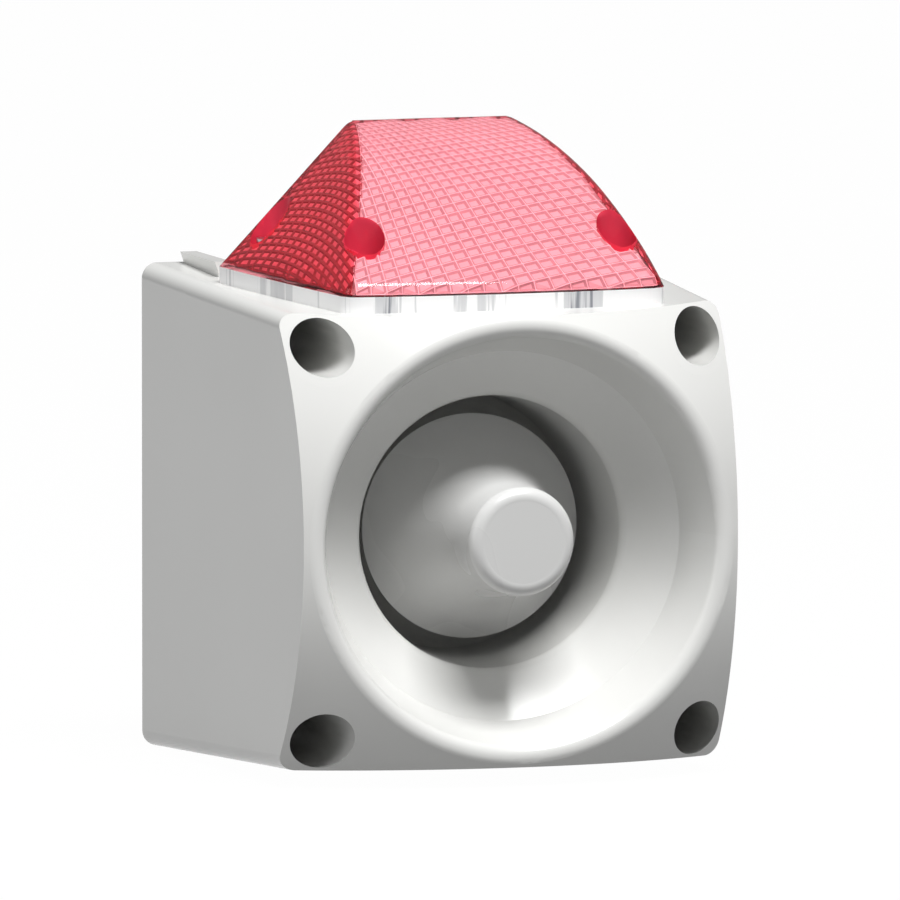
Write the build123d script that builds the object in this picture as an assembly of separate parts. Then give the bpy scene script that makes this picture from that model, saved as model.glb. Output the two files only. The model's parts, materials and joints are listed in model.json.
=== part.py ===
from build123d import *
from math import exp, radians, sqrt, tan
import os

os.makedirs("parts", exist_ok=True)

# All sizes are in millimetres. Parts of the housing are drawn as seen from the front: x to
# the right, y up and z forward from the wall. upright() turns them so that Z is up and the
# front faces -Y. The origin is the centre of the flat face that lies on the wall.
# Parts of the light are drawn with z standing on the sloping top of the housing.

# Housing
rear_width = 135.0
rear_height = 132.4
side_draft = 2.7
top_draft = 2.3
long_edge_round = 4.3
dome_radius = 119.6
dome_apex = 142.65
seam = 34.2
wall = 3.0
rim_wall = 6.5
rim_depth = 5.0

# Bell of the horn, radius and depth of each ring. Its rear part is a pot of its own.
bell_floor = 56.0
bell_floor_wall = 5.0
slot_floor_radius = 35.0
slot_middle = (36.0, 80.0)
slot_edge = (37.1, 99.2)
kink = (50.2, 109.8)
mouth_radius = 56.6
mouth_round = 3.4
slot_floor_round = 6.0
slot_edge_round = 4.0
pot_joint = 94.0
pot_lip_radius = 40.15
pot_lip_wall = 2.3
pot_lip_back = 86.0
pot_lip_front = 96.5
air_slant = 1.12

# Reflector cone
cone_rim = (30.57, 80.6)
cone_front = 124.0
cone_end_radius = 13.1
cone_fade = 15.5
cone_wall = 1.8
cone_rim_wall = 0.9
cone_rib = 2.0
cone_stations = [0.0, 0.09, 0.217, 0.378, 0.585, 0.816, 1.0]
cone_tip_wall = 3.0
rib_back = 3.0
rib_front = 8.0
collar_radius = 14.6
collar_back = 74.0
collar_front = 88.0

# Nose cap
nose_radius = 14.85
nose_front = 128.0
nose_flat_radius = 11.2
nose_seat_radius = 14.1
nose_step = 0.5
nose_peg_radius = 5.0
nose_peg_length = 3.5
nose_shoulder = 0.4
nose_bulge = (0.753, 0.694)

# Corner screws of the cover
screw_x = rear_width / 2 - 14.35
screw_y = rear_height / 2 - 13.0
well_radius = 7.7
well_floor = 40.0
well_wall = 2.5
sleeve_skin = 0.5
post_radius = 8.0
m5 = 2.5
m5_head = 4.25
m5_socket = 2.3
insert_radius = 3.5
insert_depth = 9.5
cover_screw_tip = 23.0
cover_screw_head = 5.0

# Driver behind the bell
tube_radius = 12.5
tube_front = 84.0
throat_small = 7.0
throat_large = 11.0
flange_radius = 28.5
flange_back = 48.0
surround_thick = 0.4
surround_inner = 15.2
frame_back = 42.0
frame_inner = 19.5
driver_screw_circle = 25.2
driver_screw_head = 2.4
m3 = 1.45
m3_head = 2.75
m3_socket = 1.25
m25 = 1.25
plate_back = 38.0
plate_radius = 22.0
plate_bore = 13.4
magnet_back = 27.0
magnet_radius = 24.0
magnet_bore = 16.0
yoke_back = 23.0
pole_radius = 11.9
coil_radius = 12.9
coil_wall = 0.5
coil_back = 37.0
diaphragm_radius = 15.1
diaphragm_rim_back = 46.9
diaphragm_rim = 0.6
diaphragm_dish = 2.0
dish_radius = 12.2
dish_wall = 0.45

# Circuit board
board_back = 14.0
board_thick = 1.6
board_front = board_back + board_thick
board_half_width = rear_width / 2 - 26.5
board_bottom = 18.2 - rear_height / 2
board_top = rear_height / 2 - 12.2
board_screw_x = board_half_width - 5.0
board_screw_low = board_bottom + 5.0
board_screw_high = board_top - 5.0
board_boss = 3.5
board_screw_head = 2.0
pole_count = 8
pole_pitch = 5.0
terminal_y = board_bottom + 10.0
terminal_half = (20.5, 6.0)
terminal_high = 11.0
pole_radius = 1.9
wire_hole = 1.6
clamp_radius = 1.8
clamp_tip = 0.9
clamp_slot = 0.3
tone_place = (-33.0, 6.0)
volume_place = (33.0, 6.0)
dial_half = 4.8
dial_high = 4.6
dial_radius = 3.2
dial_floor = 1.0
dial_slot = 0.45
can_radius = 5.0
can_high = 12.5
can_place = (33.5, -20.0)
chip_half = 6.0
chip_y = board_top - 18.0
chip_high = 1.6
transistor_x = 32.5
transistor_y = board_top - 23.0
transistor_half = (3.5, 3.0)
transistor_high = 2.3

# Wall fixing and cable entries
fixing_x = rear_width / 2 - 15.0
fixing_y = 32.0
fixing_radius = 2.75
fixing_pad = 7.0
fixing_pad_height = 2.0
entry_x = 24.0
entry_depth = 17.1
entry_radius = 10.0
entry_boss = 16.4
entry_mouth = 3.7 - rear_height / 2
entry_length = 10.0
spot_face = 14.5
plug_head_radius = 13.4
plug_head = 1.8
plug_socket = 5.0
plug_socket_depth = 6.0
plug_seal_thick = 0.8

# Rails on top of the wall base
rail_outer = rear_width / 2 - 10.2
rail_undercut = 1.1
rail_width = 4.6
rail_top = rear_height / 2 + 3.0
rail_lift = 0.3
rail_back = 2.6
rail_front = 33.6

# Light, with depths along the sloping top and heights above it
plate_high = 4.5
lens_rear = 42.1
lens_rear_lean = 1.8
lens_wall = 2.5
side_foot = 4.0
side_top = 50.0
side_sections = [(42.1, 60.2, 16.9), (80.1, 53.0, 21.0), (118.1, 43.9, 23.1)]
front_knee = (114.8, 7.2)
front_knee_round = 4.0
front_slope = [(90.2, 27.2), (75.2, 36.0), (57.6, 41.7), (44.0, 43.9)]
front_bow = 378.0
lens_corner_round = 5.0
lens_rear_round = 2.0
lens_well_radius = 5.45
lens_well_floor = 9.0
lens_well_wall = 2.0
lens_screws_front = (35.8, 98.3)
lens_screws_rear = (46.9, 50.0)
m4 = 2.0
m4_head = 3.8
m4_socket = 1.7
lens_screw_tip = -4.5
lens_screw_head = 3.6
lens_boss_radius = 5.0
lens_boss_depth = 11.0
inset_slant = 1.2
lead_hole = 4.0
lead_hole_depth = 62.0
light_screw_x = 30.0
light_screw_depth = 66.0
light_screw_head = 1.8
light_screw_tip = 2.0
seal_rear = (42.0, 46.5)
seal_front = (31.0, 105.0)
seal_band = 2.6
seal_thick = 1.5
light_board_corners = [(36.0, 47.0), (36.0, 80.0), (26.0, 88.0), (26.0, 103.0)]
lamp_rows = (53.0, 75.0, 95.0)
lamp_columns = (-20.0, -7.0, 7.0, 20.0)
lamp_half = 2.6
lamp_base = 1.2
lamp_dome = 1.8

# Fits
running = 0.05
clearance = 0.2
screw_play = 0.4
seal_play = 0.05
reach = 160.0


def disc(radius, near, far, x=0.0, y=0.0):
    """Round bar along z."""
    return Pos(x, y, (near + far) / 2) * Cylinder(radius, far - near)


def ring(outer, inner, near, far, x=0.0, y=0.0):
    """Round bar with a bore along z."""
    return disc(outer, near, far, x, y) - disc(inner, near, far, x, y)


def block(x0, x1, y0, y1, z0, z1):
    """Plain block between two corners."""
    return Pos((x0 + x1) / 2, (y0 + y1) / 2, (z0 + z1) / 2) * Box(x1 - x0, y1 - y0, z1 - z0)


def slab(near, far):
    """Everything between two depths."""
    return block(-reach, reach, -reach, reach, near, far)


def corners(x, y):
    """The four points at plus and minus x and y."""
    return [(x, y), (-x, y), (-x, -y), (x, -y)]


def turned(points):
    """Solid turned about z from points given as (radius, height)."""
    return revolve(Plane.XZ * make_face(Polyline(*points, close=True)), Axis.Z)


def upright(shape):
    """Turns a part drawn from the front so that its z faces the front of the room."""
    return Plane.XZ * shape


def on_top(shape):
    """Stands a part of the light on the sloping top of the housing."""
    return Pos(0, 0, rear_height / 2) * Rot(top_draft, 0, 0) * shape


def housing_block(inset):
    """Tapered square block, every side moved inward by inset."""
    width = rear_width - 2 * inset
    height = rear_height - 2 * inset
    in_x = reach * tan(radians(side_draft))
    in_y = reach * tan(radians(top_draft))
    wedge = Wedge(width, reach, height, in_x, in_y, width - in_x, height - in_y,
                  align=(Align.CENTER, Align.MIN, Align.CENTER))
    form = Rot(90, 0, 0) * wedge
    long_edges = [e for e in form.edges() if e.length > reach - 1]
    return fillet(long_edges, max(long_edge_round - inset, 1.0))


def housing_form(inset):
    """Tapered block with its domed front, moved inward by inset."""
    dome = Pos(0, 0, dome_apex - dome_radius) * Sphere(dome_radius - inset)
    return housing_block(inset) & dome


def rim(near, far):
    """Thick rim where the two halves of the housing meet."""
    return (housing_block(0) - housing_block(rim_wall)) & slab(near, far)


def gasket_ring(width_in, depth, margin):
    """Square ring that runs round the rim, for the seal and its groove."""
    band = housing_block(width_in - margin) - housing_block(width_in + 2.4 + margin)
    return band & slab(seam - depth, seam)


def bell_air(grow):
    """Half section of the air in the bell, widened by grow."""
    slope = (mouth_radius - kink[0]) / (mouth_depth() - kink[1])
    far_radius = kink[0] + slope * (reach - kink[1])
    floor = bell_floor - (bell_floor_wall if grow else 0)
    side = grow * air_slant
    outline = Polyline(
        (0, floor),
        (slot_floor_radius + grow, floor),
        (slot_middle[0] + grow, slot_middle[1]),
        (slot_edge[0] + grow, slot_edge[1] - grow / 2),
        (kink[0] + side, kink[1] - grow / 2),
        (far_radius + side, reach),
        (0, reach),
        close=True,
    )
    face = make_face(outline)
    floor_corner = face.vertices().sort_by_distance((slot_floor_radius + grow, floor))[0]
    face = fillet(floor_corner, slot_floor_round)
    edge_corner = face.vertices().sort_by_distance((slot_edge[0] + grow, slot_edge[1] - grow / 2))[0]
    return fillet(edge_corner, slot_edge_round)


def mouth_depth():
    """Depth of the dome at the mouth of the bell."""
    return dome_apex - dome_radius + sqrt(dome_radius ** 2 - mouth_radius ** 2)


def front_form():
    """Domed front with the bell sunk in it and a rounded mouth."""
    centre = dome_apex - dome_radius
    quarter = Pos(reach / 2, centre + reach / 2) * Rectangle(reach, reach)
    half = Pos(0, centre) * Circle(dome_radius) & quarter
    section = half - bell_air(0)
    lip = section.vertices().sort_by_distance((mouth_radius, mouth_depth()))[0]
    section = fillet(lip, mouth_round)
    return housing_block(0) & revolve(Plane.XZ * section, Axis.Z)


def lens_screw_points():
    """Where the four screws of the light stand, as x and y of the light."""
    points = []
    for x, depth in (lens_screws_front, lens_screws_rear):
        points += [(x, -depth), (-x, -depth)]
    return points


def front_cover():
    """Front half of the housing, with the flare of the bell and the screw wells in one moulding."""
    form = front_form() & slab(seam, reach)
    hollow = housing_form(wall) & slab(seam - 1, reach)
    hollow -= revolve(Plane.XZ * bell_air(wall), Axis.Z)
    hollow -= rim(seam - 1, seam + rim_depth)
    form -= disc(pot_lip_radius + 2 * wall, seam - 1, pot_joint)
    room = sleeve_room()
    for x, y in corners(screw_x, screw_y):
        form -= disc(well_radius + well_wall, well_floor, reach, x, y) & room
        hollow -= disc(well_radius + well_wall, seam - 1, reach, x, y)
        form -= disc(well_radius, well_floor, reach, x, y)
        form -= disc(m5 + screw_play, seam - 1, well_floor + 1, x, y)
    form = upright(form)
    hollow = upright(hollow)
    for x, y in lens_screw_points():
        hollow -= on_top(disc(lens_boss_radius, -lens_boss_depth, 0, x, y))
        form -= on_top(disc(m4 + running, lens_screw_tip - 0.5, plate_high, x, y))
    form -= hollow
    return form - on_top(disc(lead_hole, -2 * wall, 2 * wall, 0, -lead_hole_depth))


def sleeve_room():
    """Where the sleeves of the corner wells may reach, flush with the dome and inside the sides."""
    return housing_block(sleeve_skin) & Pos(0, 0, dome_apex - dome_radius) * Sphere(dome_radius)


def well_sleeves():
    """Four sleeves bonded into the cover, which line its corner wells down to their floors."""
    room = sleeve_room()
    sleeves = []
    for x, y in corners(screw_x, screw_y):
        sleeve = upright(ring(well_radius + well_wall, well_radius, well_floor, reach, x, y) & room)
        for screw in lens_screw_points():
            sleeve -= on_top(disc(m4 + running, lens_screw_tip - 0.5, plate_high, *screw))
        sleeves.append(sleeve)
    return sleeves


def horn_pot():
    """Rear part of the bell, a pot with a lip that is bonded round the end of the flare."""
    back = bell_floor - bell_floor_wall
    outside = revolve(Plane.XZ * bell_air(wall), Axis.Z)
    inside = revolve(Plane.XZ * bell_air(0), Axis.Z)
    pot = (outside - inside) & disc(pot_lip_radius, back, pot_joint)
    pot += ring(pot_lip_radius + pot_lip_wall, pot_lip_radius, pot_joint - 1, pot_lip_front)
    pot += ring(pot_lip_radius + pot_lip_wall, slot_middle[0] + wall / 2, pot_lip_back, pot_joint)
    pot -= inside
    pot -= disc(tube_radius + clearance, back - 1, bell_floor + 1)
    for x, y in driver_screw_points():
        pot -= disc(m3 + running, back - 1, bell_floor - 0.5, x, y)
    return upright(pot)


def driver_screw_points():
    """Four points on the driver's screw circle, on the diagonals."""
    step = driver_screw_circle / sqrt(2)
    return corners(step, step)


def rails():
    """Two undercut rails along the top of the wall base."""
    points = [
        (rail_outer, rail_top),
        (rail_outer - rail_width, rail_top),
        (rail_outer - rail_width, rear_height / 2 - wall),
        (rail_outer - rail_undercut, rear_height / 2 - wall),
        (rail_outer - rail_undercut, rear_height / 2 - rail_lift),
    ]
    profile = make_face(Polyline(*points, close=True))
    right = Pos(0, 0, rail_back) * extrude(profile, rail_front - rail_back)
    return right + mirror(right, Plane.YZ)


def upward(radius, low, high, x, depth):
    """Round bar that stands upright in the drawing of the housing."""
    return Pos(x, (low + high) / 2, depth) * Rot(90, 0, 0) * Cylinder(radius, high - low)


def wall_base():
    """Tray that is screwed to the wall, with posts, board bosses and two cable entries."""
    floor_y = -rear_height / 2
    tray = housing_block(0) & slab(0, seam)
    hollow = housing_block(wall) & slab(wall, reach)
    hollow -= rim(seam - rim_depth, reach)
    for x, y in corners(screw_x, screw_y):
        hollow -= disc(post_radius, 0, reach, x, y)
    for x, y in board_screw_points():
        hollow -= disc(board_boss, 0, board_back, x, y)
    for x, y in corners(fixing_x, fixing_y):
        hollow -= disc(fixing_pad, 0, wall + fixing_pad_height, x, y)
    for x in (-entry_x, entry_x):
        hollow -= upward(entry_boss, floor_y, entry_mouth + entry_length, x, entry_depth)
    tray -= hollow
    tray += rails()
    for x, y in corners(screw_x, screw_y):
        tray -= disc(insert_radius, seam - insert_depth - 1, seam + 1, x, y)
        tray -= disc(m5 + screw_play, cover_screw_tip - 2, seam, x, y)
    for x, y in board_screw_points():
        tray -= disc(m25 + running, wall + 2, board_back + 1, x, y)
    for x, y in corners(fixing_x, fixing_y):
        tray -= disc(fixing_radius, -1, wall + fixing_pad_height + 1, x, y)
    for x in (-entry_x, entry_x):
        tray -= upward(entry_radius, floor_y - 1, entry_mouth + entry_length + 1, x, entry_depth)
        tray -= upward(spot_face, floor_y - 1, entry_mouth, x, entry_depth)
    return upright(tray - gasket_ring(2.0, 2.0, 0))


def cover_gasket():
    """Seal that lies in the groove of the wall base."""
    return upright(gasket_ring(2.0, 2.0, -seal_play))


def screw_inserts():
    """Threaded inserts in the four corner posts."""
    near = seam - insert_depth
    return [upright(ring(insert_radius - running, m5 + running, near, seam - 0.3, x, y))
            for x, y in corners(screw_x, screw_y)]


def socket_screw(shank, head, head_high, socket, seat, tip):
    """Round-head screw with a hexagon socket, seat and tip given along z."""
    screw = disc(shank, tip, seat) + disc(head, seat, seat + head_high)
    recess = extrude(RegularPolygon(socket, 6), head_high * 0.55)
    return screw - Pos(0, 0, seat + head_high * 0.45) * recess


def cover_screws():
    """Four screws that hold the cover, deep in the corner wells."""
    screw = socket_screw(m5, m5_head, cover_screw_head, m5_socket, well_floor, cover_screw_tip)
    return [upright(Pos(x, y, 0) * screw) for x, y in corners(screw_x, screw_y)]


def cone_outer(depth):
    """Outside radius of the reflector cone at a depth."""
    start = cone_rim[0] - cone_end_radius
    return cone_end_radius + start * exp((cone_rim[1] - depth) / cone_fade)


def cone_section(inset_rim, inset, front):
    """Half section inside the cone's curve, moved inward by inset."""
    depths = [cone_rim[1] + share * (front - cone_rim[1]) for share in cone_stations]
    points = [(cone_outer(depths[0]) - inset_rim, depths[0])]
    points += [(cone_outer(d) - inset, d) for d in depths[1:]]
    curve = Spline(*points)
    rest = Polyline(points[-1], (0, front), (0, cone_rim[1]), points[0])
    return make_face(Curve() + [curve, rest])


def reflector_cone():
    """Flared cone with a sharp rim, open at the back, held by ribs on a collar."""
    full = revolve(Plane.XZ * cone_section(0, 0, cone_front), Axis.Z)
    inside = revolve(Plane.XZ * cone_section(cone_rim_wall, cone_wall, cone_front - cone_tip_wall), Axis.Z)
    ribs = disc(collar_radius, collar_back, collar_front)
    far = cone_rim[0] + 1
    held = full + disc(collar_radius, collar_back, cone_rim[1])
    for turn in (45, 135):
        spoke = block(-far, far, -cone_rib / 2, cone_rib / 2,
                      cone_rim[1] + rib_back, collar_front + rib_front)
        ribs += Rot(0, 0, turn) * spoke & held
    inside -= ribs
    cone = full + disc(collar_radius, collar_back, cone_rim[1]) - inside
    cone -= disc(tube_radius + running, collar_back - 1, tube_front)
    cone -= disc(throat_large, tube_front - 1, collar_front + rib_front + 1)
    peg_end = cone_front - nose_peg_length
    return upright(cone - disc(nose_peg_radius + running, peg_end - 0.5, cone_front + 1))


def nose_cap():
    """Plain rounded cap on the tip of the cone, with a peg."""
    low = cone_front + nose_step
    shoulder = low + nose_shoulder
    bulge = (nose_flat_radius + nose_bulge[0] * (nose_radius - nose_flat_radius),
             shoulder + nose_bulge[1] * (nose_front - shoulder))
    face = make_face(Curve() + [
        Polyline((nose_flat_radius, nose_front), (0, nose_front), (0, cone_front),
                 (nose_seat_radius, cone_front), (nose_seat_radius, low),
                 (nose_radius, low), (nose_radius, shoulder)),
        ThreePointArc((nose_radius, shoulder), bulge, (nose_flat_radius, nose_front)),
    ])
    peg = disc(nose_peg_radius, cone_front - nose_peg_length, cone_front)
    return upright(revolve(Plane.XZ * face, Axis.Z) + peg)


def throat_tube():
    """Flanged tube that leads the sound forward into the cone."""
    back = flange_back
    tube = disc(tube_radius, back, tube_front) + disc(flange_radius, back, bell_floor - bell_floor_wall)
    bore = turned([(0, back), (throat_small, back), (throat_large, tube_front), (0, tube_front)])
    return upright(with_driver_holes(tube - bore, back))


def with_driver_holes(shape, depth):
    """Takes the four driver screw holes out of a piece."""
    for x, y in driver_screw_points():
        shape -= disc(m3 + clearance, depth - 8, depth + 8, x, y)
    return shape


def surround():
    """Thin flexible ring clamped round the diaphragm."""
    sheet = ring(flange_radius, surround_inner, flange_back - surround_thick, flange_back)
    return upright(with_driver_holes(sheet, flange_back))


def driver_frame():
    """Ring that spaces the magnet from the throat."""
    front = flange_back - surround_thick
    return upright(with_driver_holes(ring(flange_radius, frame_inner, frame_back, front), flange_back))


def driver_top_plate():
    """Front steel plate round the voice coil gap."""
    return upright(ring(plate_radius, plate_bore, plate_back, frame_back))


def driver_magnet():
    """Ring magnet."""
    return upright(ring(magnet_radius, magnet_bore, magnet_back, plate_back))


def driver_yoke():
    """Back plate and pole of the magnet."""
    pole = disc(pole_radius, magnet_back, frame_back)
    return upright(disc(magnet_radius, yoke_back, magnet_back) + pole)


def diaphragm():
    """Dished diaphragm with a flat rim."""
    near = diaphragm_rim_back
    far = near + diaphragm_rim
    curve = (dish_radius ** 2 + diaphragm_dish ** 2) / (2 * diaphragm_dish)
    shell = Sphere(curve) - Sphere(curve - dish_wall)
    dish = Pos(0, 0, near - diaphragm_dish + curve) * shell & disc(dish_radius + 0.2, near - 5, far)
    return upright(dish + ring(diaphragm_radius, dish_radius - 0.2, near, far))


def voice_coil():
    """Coil former and winding behind the diaphragm."""
    return upright(ring(coil_radius, coil_radius - coil_wall, coil_back, diaphragm_rim_back))


def driver_screws():
    """Four screws from behind the driver into the floor of the bell."""
    tip = frame_back - bell_floor + 1.5
    screw = Rot(180, 0, 0) * socket_screw(m3, m3_head, driver_screw_head, m3_socket, 0, tip)
    return [upright(Pos(x, y, frame_back) * screw) for x, y in driver_screw_points()]


def board_screw_points():
    """Where the four screws of the circuit board stand."""
    return [(x, y) for x in (-board_screw_x, board_screw_x) for y in (board_screw_low, board_screw_high)]


def main_board():
    """Circuit board on the bosses of the wall base."""
    board = block(-board_half_width, board_half_width, board_bottom, board_top, board_back, board_front)
    for x, y in board_screw_points():
        board -= disc(m3 + clearance, board_back - 1, board_front + 1, x, y)
    return upright(board)


def board_screws():
    """Four screws of the circuit board."""
    screw = socket_screw(m25, m3_head, board_screw_head, m3_socket, board_front, wall + 3)
    return [upright(Pos(x, y, 0) * screw) for x, y in board_screw_points()]


def terminal_points():
    """Where the poles of the terminal block stand."""
    first = -pole_pitch * (pole_count - 1) / 2
    return [(first + pole_pitch * i, terminal_y) for i in range(pole_count)]


def terminal_block():
    """Terminal block at the foot of the board."""
    half_x, half_y = terminal_half
    body = block(-half_x, half_x, terminal_y - half_y, terminal_y + half_y,
                 board_front, board_front + terminal_high)
    for x, y in terminal_points():
        body -= disc(pole_radius, board_front + 4, board_front + terminal_high + 1, x, y)
        body -= upward(wire_hole, terminal_y - half_y - 1, y, x, board_front + 3)
    return upright(body)


def terminal_screws():
    """Slotted clamp screws of the terminal block."""
    top = board_front + 9
    screw = disc(clamp_radius, board_front + 5, top)
    screw -= block(-clamp_radius - 1, clamp_radius + 1, -clamp_slot, clamp_slot, top - 0.8, top + 1)
    screw += disc(clamp_tip, board_front + 4, board_front + 5)
    return [upright(Pos(x, y, 0) * screw) for x, y in terminal_points()]


def dial_body(x, y):
    """Square body of a small rotary control, with a bore for its dial."""
    body = block(x - dial_half, x + dial_half, y - dial_half, y + dial_half,
                 board_front, board_front + dial_high)
    bore = disc(dial_radius + running, board_front + dial_floor, board_front + dial_high + 1, x, y)
    return upright(body - bore)


def dial(x, y):
    """Slotted dial that a screwdriver turns."""
    top = board_front + dial_high + 0.3
    body = disc(dial_radius, board_front + dial_floor, top, x, y)
    half = dial_radius - 0.6
    return upright(body - block(x - half, x + half, y - dial_slot, y + dial_slot, top - 1, top + 1))


def capacitors():
    """Two upright capacitors."""
    x, y = can_place
    return [upright(disc(can_radius, board_front, board_front + can_high, side, y)) for side in (-x, x)]


def control_chips():
    """Controller and two power transistors on the board."""
    half_x, half_y = transistor_half
    chips = [block(-chip_half, chip_half, chip_y - chip_half, chip_y + chip_half,
                   board_front, board_front + chip_high)]
    for x in (-transistor_x, transistor_x):
        chips.append(block(x - half_x, x + half_x, transistor_y - half_y, transistor_y + half_y,
                           board_front, board_front + transistor_high))
    return [upright(chip) for chip in chips]


def blanking_plug():
    """Flush plug in the spare cable entry, with a hexagon recess."""
    top = entry_mouth + entry_length
    under_head = entry_mouth - plug_seal_thick
    body = upward(entry_radius - running, under_head - 0.5, top, entry_x, entry_depth)
    body += upward(plug_head_radius, under_head - plug_head, under_head, entry_x, entry_depth)
    recess = extrude(RegularPolygon(plug_socket, 6), plug_socket_depth)
    return upright(body - Pos(entry_x, under_head - plug_head, entry_depth) * Rot(-90, 0, 0) * recess)


def plug_seal():
    """Flat seal under the head of the plug."""
    low = entry_mouth - plug_seal_thick
    seal = upward(plug_head_radius - 0.3, low, entry_mouth, entry_x, entry_depth)
    return upright(seal - upward(entry_radius + running, low - 1, entry_mouth + 1, entry_x, entry_depth))


def lens_sides(inset):
    """Body of the light bounded by its leaning, bowed sides."""
    sections = []
    for depth, foot, top in side_sections:
        low = foot - inset * inset_slant
        high = top - inset * inset_slant
        points = [(-low, 0), (low, 0), (low, side_foot),
                  (high, side_top), (-high, side_top), (-low, side_foot)]
        sections.append(Pos(0, -depth, 0) * (Plane.XZ * make_face(Polyline(*points, close=True))))
    return loft(sections)


def front_profile(inset):
    """Side view of the light's front: a steep foot, a knee and a slope that flattens out."""
    path = [(-front_knee[0], front_knee[1])] + [(-depth, high) for depth, high in front_slope]
    slope = []
    for i in range(1, len(path)):
        before = path[i - 1]
        after = path[min(i + 1, len(path) - 1)]
        run, rise = after[0] - before[0], after[1] - before[1]
        length = sqrt(run ** 2 + rise ** 2)
        slope.append((path[i][0] + inset * rise / length, path[i][1] - inset * run / length))
    start = (path[1][0] - path[0][0], path[1][1] - path[0][1])
    end = (path[-1][0] - path[-2][0], path[-1][1] - path[-2][1])
    knee_y = path[0][0] + inset
    knee_z = slope[0][1] + (knee_y - slope[0][0]) * start[1] / start[0]
    below = Polyline((-20, -10), (knee_y, -10), (knee_y, knee_z), slope[0])
    behind = Polyline(slope[-1], (-20, slope[-1][1] + 2.5), (-20, -10))
    face = make_face(Curve() + [below, Spline(*slope, tangents=[start, end]), behind])
    knee = face.vertices().sort_by_distance((knee_y, knee_z))[0]
    return fillet(knee, front_knee_round)


def lens_form(inset):
    """Form of the light with sharp corners, every face moved inward by inset."""
    tail = Axis((0, front_bow - front_knee[0], 0), (0, 0, 1))
    front = revolve(Plane.YZ * front_profile(inset), tail)
    rear = -lens_rear - inset
    lean = Polyline((rear, 0), (rear - lens_rear_lean, side_top), (0, side_top), (0, 0), close=True)
    form = lens_sides(inset) & front
    form -= extrude(Plane.YZ * make_face(lean), 80, both=True)
    return form & block(-80, 80, -reach, 0, plate_high, side_top)


def rounded_lens():
    """Outer form of the light with its corners and rear edges rounded."""
    form = lens_form(0)
    corner_edges = []
    for edge in form.edges():
        middle = edge.position_at(0.5)
        highest = max(edge.position_at(0).Z, edge.position_at(1).Z)
        if edge.length > 40 and abs(middle.X) > 20 and middle.Y < -60 and highest > 20:
            corner_edges.append(edge)
    form = fillet(corner_edges, lens_corner_round)
    rear_edges = []
    for edge in form.edges():
        middle = edge.position_at(0.5)
        if middle.Y > -46 and middle.Z > plate_high + 0.5:
            rear_edges.append(edge)
    return fillet(rear_edges, lens_rear_round)


def lens():
    """Coloured lens moulding with four screw wells."""
    solid = rounded_lens()
    inside = lens_form(lens_wall)
    for x, y in lens_screw_points():
        inside -= disc(lens_well_radius + lens_well_wall, 0, 60, x, y)
        solid -= disc(lens_well_radius, lens_well_floor, 60, x, y)
        solid -= disc(m4 + clearance, 0, lens_well_floor + 1, x, y)
    return on_top(solid - inside)


def lens_base():
    """Clear plate under the lens, with the same outline."""
    foot = rounded_lens().faces().sort_by(Axis.Z)[0]
    plate = extrude(foot, plate_high, dir=(0, 0, -1))
    for x, y in lens_screw_points():
        plate -= disc(m4 + clearance, -1, plate_high + 1, x, y)
    for x in (-light_screw_x, light_screw_x):
        plate -= disc(m25 + running, light_screw_tip - 0.5, plate_high + 1, x, -light_screw_depth)
    plate -= disc(lead_hole, -1, plate_high + 1, 0, -lead_hole_depth)
    return on_top(plate - light_seal(0))


def seal_outline(inset):
    """Outline of the seal's band, moved inward by inset."""
    rear_x, rear_depth = seal_rear
    front_x, front_depth = seal_front
    right = [(rear_x - inset, -rear_depth - inset), (front_x - inset, -front_depth + inset)]
    return make_face(Polyline(*right, *[(-x, y) for x, y in reversed(right)], close=True))


def light_seal(margin):
    """Band under the clear plate, inside the four screws, narrowed by margin on each side."""
    band = seal_outline(margin) - seal_outline(seal_band - margin)
    return extrude(band, seal_thick)


def lens_gasket():
    """Seal between the clear plate and the housing."""
    return on_top(light_seal(seal_play))


def lens_screws():
    """Four screws of the light."""
    screw = socket_screw(m4, m4_head, lens_screw_head, m4_socket, lens_well_floor, lens_screw_tip)
    return [on_top(Pos(x, y, 0) * screw) for x, y in lens_screw_points()]


def light_board():
    """Board with the lamps, on the clear plate."""
    right = [(x, -depth) for x, depth in light_board_corners]
    outline = make_face(Polyline(*right, *[(-x, y) for x, y in reversed(right)], close=True))
    board = Pos(0, 0, plate_high) * extrude(outline, board_thick)
    for x in (-light_screw_x, light_screw_x):
        board -= disc(m3 + clearance, 0, 2 * plate_high, x, -light_screw_depth)
    return on_top(board - disc(lead_hole, 0, 2 * plate_high, 0, -lead_hole_depth))


def light_board_screws():
    """Two screws of the light board."""
    top = plate_high + board_thick
    screw = socket_screw(m25, m3_head, light_screw_head, m3_socket, top, light_screw_tip)
    return [on_top(Pos(x, -light_screw_depth, 0) * screw) for x in (-light_screw_x, light_screw_x)]


def lamps():
    """Light-emitting diodes in three rows."""
    low = plate_high + board_thick
    top = low + lamp_base
    dome = Sphere(lamp_dome) & block(-lamp_half, lamp_half, -lamp_half, lamp_half, 0, lamp_half)
    lamp = block(-lamp_half, lamp_half, -lamp_half, lamp_half, low, top) + Pos(0, 0, top) * dome
    return [on_top(Pos(x, -depth, 0) * lamp) for depth in lamp_rows for x in lamp_columns]


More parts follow.
